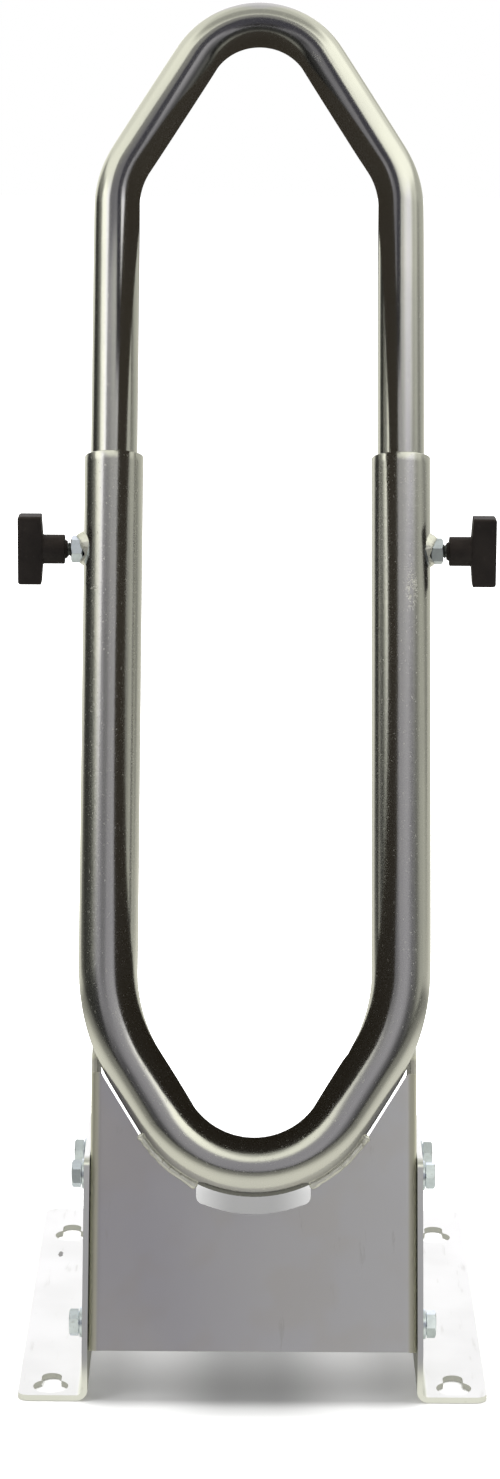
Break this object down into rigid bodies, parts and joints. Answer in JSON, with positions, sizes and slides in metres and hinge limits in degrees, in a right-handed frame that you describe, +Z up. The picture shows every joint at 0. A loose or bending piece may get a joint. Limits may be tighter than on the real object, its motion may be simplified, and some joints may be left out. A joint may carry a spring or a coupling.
{
  "type": "wheel display stand",
  "caption": "Floor stand with a leaning telescoping tube hoop on a folded channel and two slotted feet, which grips the front wheel of a motocross bike or bicycle.",
  "frame": {"origin": "on the floor, midway between the two feet and midway along them", "axes": "+Z up, -Y towards the open front that faces the viewer, +X to the right seen from the front"},
  "size_m": [0.2604, 0.305, 0.7202],
  "materials": {
    "tube_zinc": "bright zinc plated tube, glossy, with fine scratches",
    "channel_zinc": "satin zinc plated sheet",
    "foot_zinc": "pale zinc plated sheet",
    "fastener_zinc": "blue-white zinc plated screws, nuts and washers",
    "weld": "plated weld bead, rippled",
    "knob_plastic": "black moulded plastic with a fine grain"
  },
  "bodies": {
    "base_frame": {"foot_left": "foot_zinc", "foot_right": "foot_zinc", "front_channel": "channel_zinc", "lower_hoop_tube": "tube_zinc", "weld_seam_left": "weld", "weld_seam_right": "weld", "nut_weld_left": "weld", "nut_weld_right": "weld", "weld_nut_left": "fastener_zinc", "weld_nut_right": "fastener_zinc", "bolt_left_low": "fastener_zinc", "bolt_left_high_front": "fastener_zinc", "bolt_left_high_rear": "fastener_zinc", "bolt_right_low": "fastener_zinc", "bolt_right_high_front": "fastener_zinc", "bolt_right_high_rear": "fastener_zinc", "washer_left_low": "fastener_zinc", "washer_left_high_front": "fastener_zinc", "washer_left_high_rear": "fastener_zinc", "washer_right_low": "fastener_zinc", "washer_right_high_front": "fastener_zinc", "washer_right_high_rear": "fastener_zinc", "nut_left_low": "fastener_zinc", "nut_left_high_front": "fastener_zinc", "nut_left_high_rear": "fastener_zinc", "nut_right_low": "fastener_zinc", "nut_right_high_front": "fastener_zinc", "nut_right_high_rear": "fastener_zinc"},
    "height_hoop": {"upper_hoop_tube": "tube_zinc"},
    "left_stud": {"clamp_stud_left": "fastener_zinc"},
    "right_stud": {"clamp_stud_right": "fastener_zinc"},
    "left_handle": {"knob_left": "knob_plastic"},
    "right_handle": {"knob_right": "knob_plastic"}
  },
  "joints": [
    {"name": "hoop_height", "type": "slide", "parent": "base_frame", "child": "height_hoop", "axis": [0, 0.3665, 0.9304], "range_m": [-0.13, 0.07]},
    {"name": "left_stud_travel", "type": "slide", "parent": "base_frame", "child": "left_stud", "axis": [-1, 0, 0], "range_m": [0, 0.004]},
    {"name": "left_knob_turn", "type": "hinge", "parent": "left_stud", "child": "left_handle", "pos_m": [-0.118, 0.00723, 0.4294], "axis": [-1, 0, 0], "range_deg": [0, 720]},
    {"name": "right_stud_travel", "type": "slide", "parent": "base_frame", "child": "right_stud", "axis": [1, 0, 0], "range_m": [0, 0.004]},
    {"name": "right_knob_turn", "type": "hinge", "parent": "right_stud", "child": "right_handle", "pos_m": [0.118, 0.00723, 0.4294], "axis": [1, 0, 0], "range_deg": [0, 720]}
  ],
  "couplings": [
    {"joint": "left_stud_travel", "follows": "left_knob_turn", "m_per_rad": 0.00019894},
    {"joint": "right_stud_travel", "follows": "right_knob_turn", "m_per_rad": 0.00019894}
  ]
}
